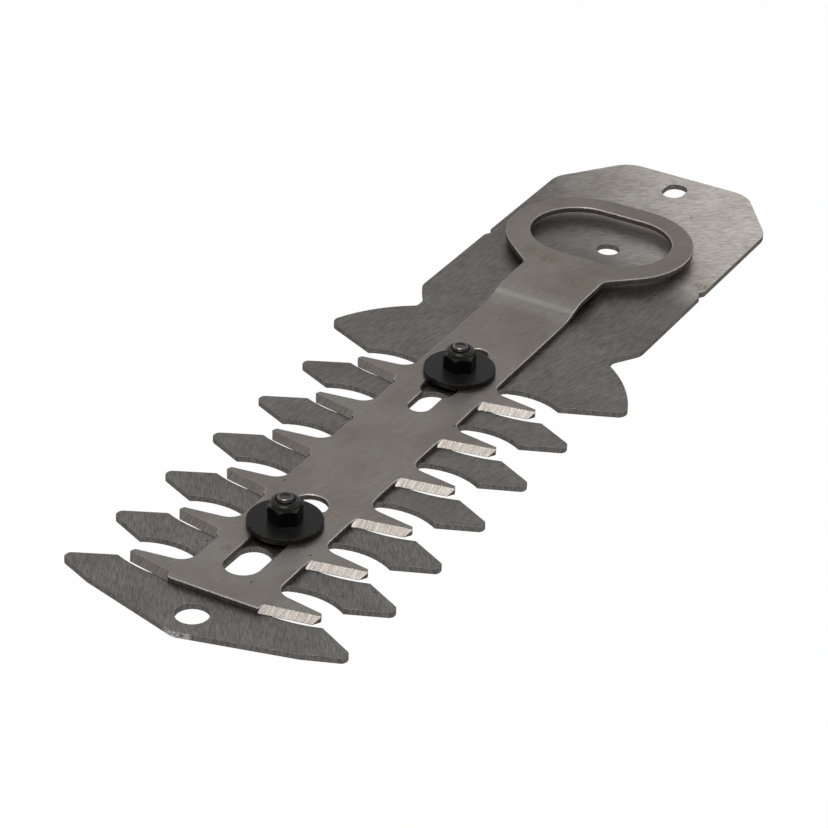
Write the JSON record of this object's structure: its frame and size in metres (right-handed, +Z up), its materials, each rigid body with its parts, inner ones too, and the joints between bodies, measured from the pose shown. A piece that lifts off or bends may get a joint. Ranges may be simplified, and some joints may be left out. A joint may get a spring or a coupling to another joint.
{
  "type": "hedge trimmer blade",
  "caption": "Double-sided shrub shear blade: a fixed comb plate with barbed teeth and a sliding bevelled cutter with a drive yoke, held down by washers and lock nuts on two studs.",
  "frame": {"origin": "axis of the round locating hole, on the comb's underside", "axes": "+X across the blade, +Y from the tip towards the machine, +Z up from the comb to the cutter"},
  "size_m": [0.0808, 0.2535, 0.0104],
  "materials": {
    "comb_steel": "ground mill finish",
    "cutter_steel": "fine ground, with bright ground bevels",
    "stud_steel": "black oxide",
    "bush_steel": "turned",
    "black_oxide": "satin black oxide",
    "black_nut": "oiled black oxide",
    "nylon": "moulded"
  },
  "bodies": {
    "comb": {"lower_blade": "comb_steel", "front_bolt": "stud_steel", "front_guide_bush": "bush_steel", "front_washer": "black_oxide", "front_lock_nut": "black_nut", "front_nut_insert": "nylon", "rear_bolt": "stud_steel", "rear_guide_bush": "bush_steel", "rear_washer": "black_oxide", "rear_lock_nut": "black_nut", "rear_nut_insert": "nylon"},
    "cutter": {"upper_blade": "cutter_steel"}
  },
  "joints": [
    {"name": "cutter_stroke", "type": "slide", "parent": "comb", "child": "cutter", "axis": [0, 1, 0], "range_m": [-0.005, 0.005]}
  ]
}
